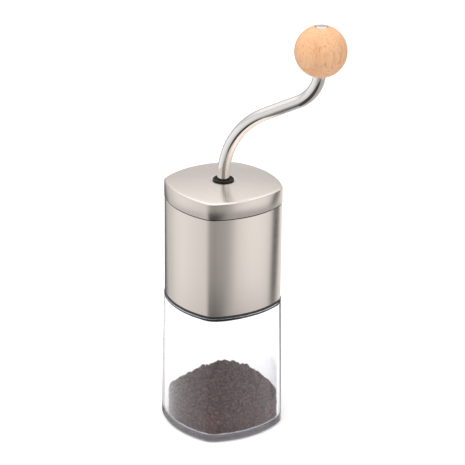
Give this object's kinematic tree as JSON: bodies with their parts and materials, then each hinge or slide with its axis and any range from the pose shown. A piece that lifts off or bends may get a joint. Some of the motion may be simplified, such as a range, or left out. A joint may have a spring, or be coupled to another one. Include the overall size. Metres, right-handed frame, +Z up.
{
  "type": "hand crank coffee grinder",
  "caption": "Hand crank coffee grinder with a square steel body, conical burrs, a clear grounds container and an S-bent crank with a ball knob.",
  "frame": {"origin": "middle of the container's flat base, on the axis of the drive shaft", "axes": "+Z up along the drive shaft, the body's flat sides face +X, -X, +Y and -Y"},
  "size_m": [0.0743, 0.0951, 0.2433],
  "materials": {
    "clear_acrylic": "clear, polished",
    "ground_coffee": "loose grains",
    "black_rubber": "matte",
    "brushed_steel": "satin",
    "black_plastic": "fine matte",
    "gloss_black_plastic": "gloss",
    "zinc_plated_steel": "plated",
    "bronze": "sintered",
    "burr_ceramic": "matte",
    "polished_steel": "polished",
    "spring_steel": "drawn wire",
    "beech_wood": "fine sanded, oiled"
  },
  "bodies": {
    "container": {"container": "clear_acrylic", "ground_coffee": "ground_coffee", "seal_ring": "black_rubber"},
    "housing": {"body_sleeve": "brushed_steel", "hopper": "black_plastic", "bearing_bridge": "black_plastic", "bridge_screws": "zinc_plated_steel", "upper_bush": "bronze", "lower_bush": "bronze", "outer_burr": "burr_ceramic", "burr_retainer": "black_plastic", "retainer_screws": "zinc_plated_steel"},
    "shaft": {"drive_shaft": "zinc_plated_steel", "upper_clip": "spring_steel", "lower_clip": "spring_steel", "thrust_washer": "zinc_plated_steel"},
    "burr": {"inner_burr": "burr_ceramic", "burr_carrier": "black_plastic", "spring_collar": "zinc_plated_steel", "burr_spring": "spring_steel"},
    "wheel": {"adjusting_wheel": "black_plastic", "adjusting_nut": "bronze"},
    "lid": {"lid_shell": "brushed_steel", "lid_liner": "black_plastic", "lid_bush": "gloss_black_plastic", "lid_clip": "spring_steel"},
    "crank": {"crank_rod": "polished_steel", "drive_socket": "zinc_plated_steel", "socket_pin": "zinc_plated_steel", "crank_washer": "black_plastic", "knob_washer": "black_plastic", "knob_rivet": "polished_steel"},
    "knob": {"knob_ball": "beech_wood", "knob_sleeve": "bronze"}
  },
  "joints": [
    {"name": "housing_lift", "type": "slide", "parent": "container", "child": "housing", "axis": [0, 0, 1], "range_m": [0, 0.06]},
    {"name": "lid_lift", "type": "slide", "parent": "housing", "child": "lid", "axis": [0, 0, 1], "range_m": [0, 0.03]},
    {"name": "crank_turn", "type": "hinge", "parent": "lid", "child": "crank", "pos_m": [0, 0, 0.1463], "axis": [0, 0, 1], "continuous": true},
    {"name": "knob_spin", "type": "hinge", "parent": "crank", "child": "knob", "pos_m": [0.02842, -0.04922, 0.2293], "axis": [0, 0, 1], "continuous": true},
    {"name": "shaft_turn", "type": "hinge", "parent": "housing", "child": "shaft", "pos_m": [0, 0, 0.1], "axis": [0, 0, 1], "continuous": true},
    {"name": "burr_slide", "type": "slide", "parent": "shaft", "child": "burr", "axis": [0, 0, 1], "range_m": [-0.0016, 0], "deforming": ["burr_spring"]},
    {"name": "wheel_turn", "type": "hinge", "parent": "burr", "child": "wheel", "pos_m": [0, 0, 0.073], "axis": [0, 0, 1], "range_deg": [-720, 0]}
  ],
  "couplings": [
    {"joint": "shaft_turn", "follows": "crank_turn", "ratio": 1},
    {"joint": "wheel_turn", "follows": "burr_slide", "rad_per_m": 7854}
  ]
}
